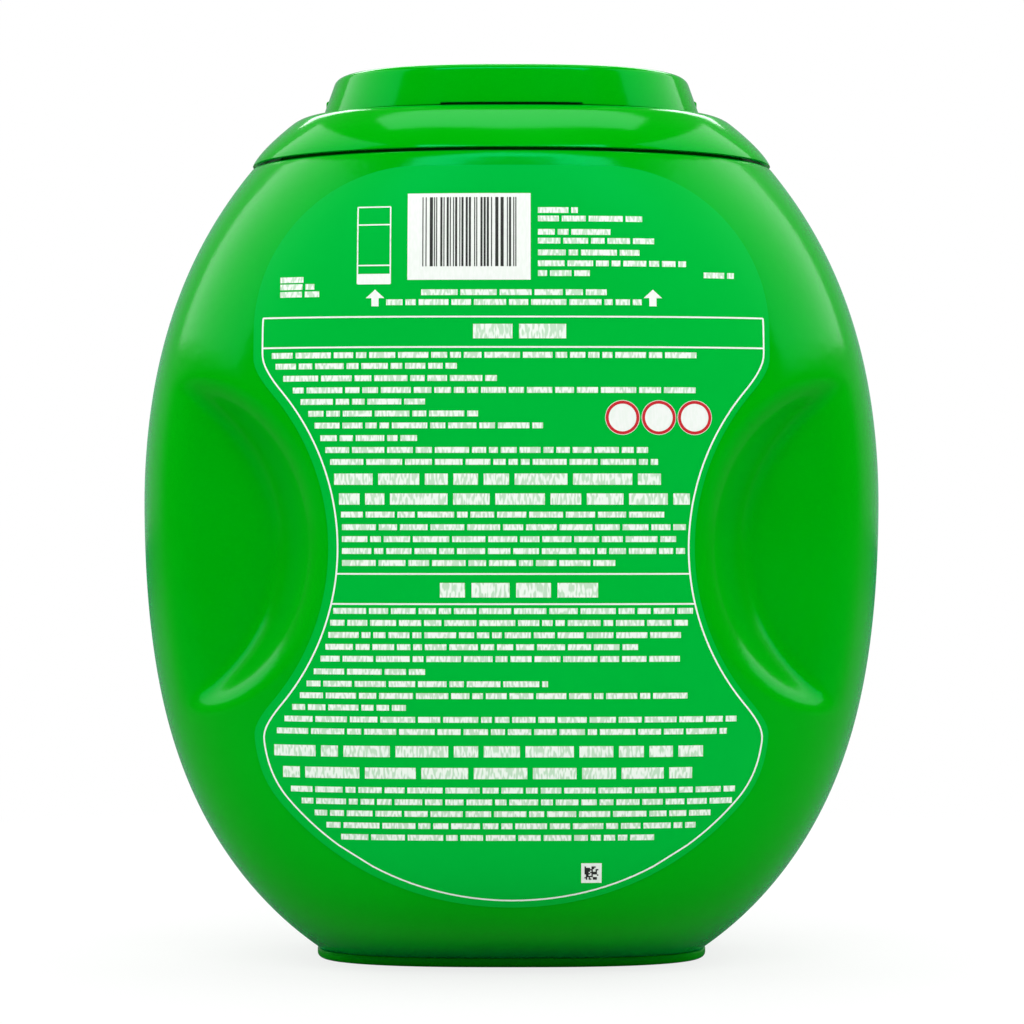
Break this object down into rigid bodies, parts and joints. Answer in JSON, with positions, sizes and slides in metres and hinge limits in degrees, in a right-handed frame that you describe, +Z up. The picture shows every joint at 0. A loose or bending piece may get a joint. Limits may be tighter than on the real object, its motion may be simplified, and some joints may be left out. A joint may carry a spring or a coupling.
{
  "type": "laundry pod tub",
  "caption": "Wide flattened barrel tub with four grip scoops, a domed push-fit collar and a flip-top lid with side squeeze tabs, part filled with laundry pods.",
  "frame": {"origin": "middle of the foot, on the surface the tub stands on", "axes": "+Z up, +Y towards the front with the finger lip, the labelled back and the hinge face -Y, +X to the right seen from the back"},
  "size_m": [0.2359, 0.1584, 0.2831],
  "materials": {
    "tub_plastic": "glossy moulded polyethylene",
    "cap_plastic": "glossy moulded polypropylene",
    "label_film": "smooth printed film",
    "pod_film": "soft clear film over coloured liquid"
  },
  "bodies": {
    "tub_body": {"tub": "tub_plastic", "collar": "cap_plastic", "back_label": "label_film", "pod_layer_1": "pod_film", "pod_layer_2": "pod_film", "pod_layer_3": "pod_film", "pod_layer_4": "pod_film", "pod_layer_5": "pod_film", "pod_layer_6": "pod_film", "pod_layer_7": "pod_film", "pod_layer_8": "pod_film", "pod_layer_9": "pod_film"},
    "lid_body": {"lid": "cap_plastic"},
    "right_tab": {"squeeze_tab_right": "cap_plastic"},
    "left_tab": {"squeeze_tab_left": "cap_plastic"}
  },
  "joints": [
    {"name": "lid_hinge", "type": "hinge", "parent": "tub_body", "child": "lid_body", "pos_m": [0, -0.0529, 0.2726], "axis": [1, 0, 0], "range_deg": [0, 105]},
    {"name": "right_squeeze", "type": "slide", "parent": "tub_body", "child": "right_tab", "axis": [-1, 0, 0], "range_m": [0, 0.0022], "stiffness_N_per_m": 4000},
    {"name": "left_squeeze", "type": "slide", "parent": "tub_body", "child": "left_tab", "axis": [1, 0, 0], "range_m": [0, 0.0022], "stiffness_N_per_m": 4000}
  ]
}
